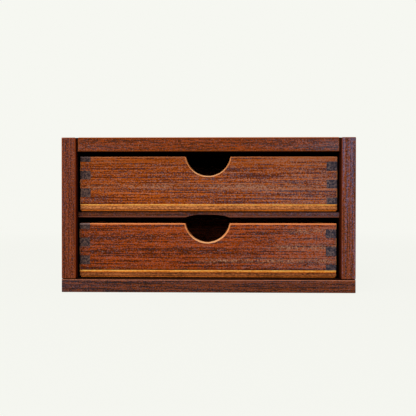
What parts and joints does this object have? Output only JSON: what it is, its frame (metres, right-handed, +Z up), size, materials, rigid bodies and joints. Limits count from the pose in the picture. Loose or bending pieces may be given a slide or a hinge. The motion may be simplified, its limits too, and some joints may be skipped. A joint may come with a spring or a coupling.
{
  "type": "tabletop drawer box",
  "caption": "Small wooden tabletop chest with sliding drawers, box-jointed drawer frames on plywood bases and half-round cut-out pulls.",
  "frame": {"origin": "middle of the underside of the bottom panel", "axes": "+X to the right seen from the front, +Y from the front to the back, +Z up"},
  "size_m": [0.31, 0.24, 0.1637],
  "materials": {
    "case_wood": "oiled, satin, dark red-brown",
    "drawer_wood": "oiled, satin, orange-brown",
    "plywood": "oiled, satin, golden brown",
    "tongue_wood": "bare, matt, pale",
    "pin_steel": "plain"
  },
  "bodies": {
    "case": {"left_side": "case_wood", "right_side": "case_wood", "top_panel": "case_wood", "bottom_panel": "case_wood", "divider": "case_wood", "back_panel": "plywood", "left_loose_tongue": "tongue_wood", "right_loose_tongue": "tongue_wood", "back_panel_pins": "pin_steel"},
    "upper_drawer": {"upper_drawer_front": "drawer_wood", "upper_drawer_back": "drawer_wood", "upper_drawer_left_side": "drawer_wood", "upper_drawer_right_side": "drawer_wood", "upper_drawer_base": "plywood", "upper_drawer_base_pins": "pin_steel"},
    "lower_drawer": {"lower_drawer_front": "drawer_wood", "lower_drawer_back": "drawer_wood", "lower_drawer_left_side": "drawer_wood", "lower_drawer_right_side": "drawer_wood", "lower_drawer_base": "plywood", "lower_drawer_base_pins": "pin_steel"}
  },
  "joints": [
    {"name": "upper_drawer_slide", "type": "slide", "parent": "case", "child": "upper_drawer", "axis": [0, -1, 0], "range_m": [0, 0.21]},
    {"name": "lower_drawer_slide", "type": "slide", "parent": "case", "child": "lower_drawer", "axis": [0, -1, 0], "range_m": [0, 0.21]}
  ]
}
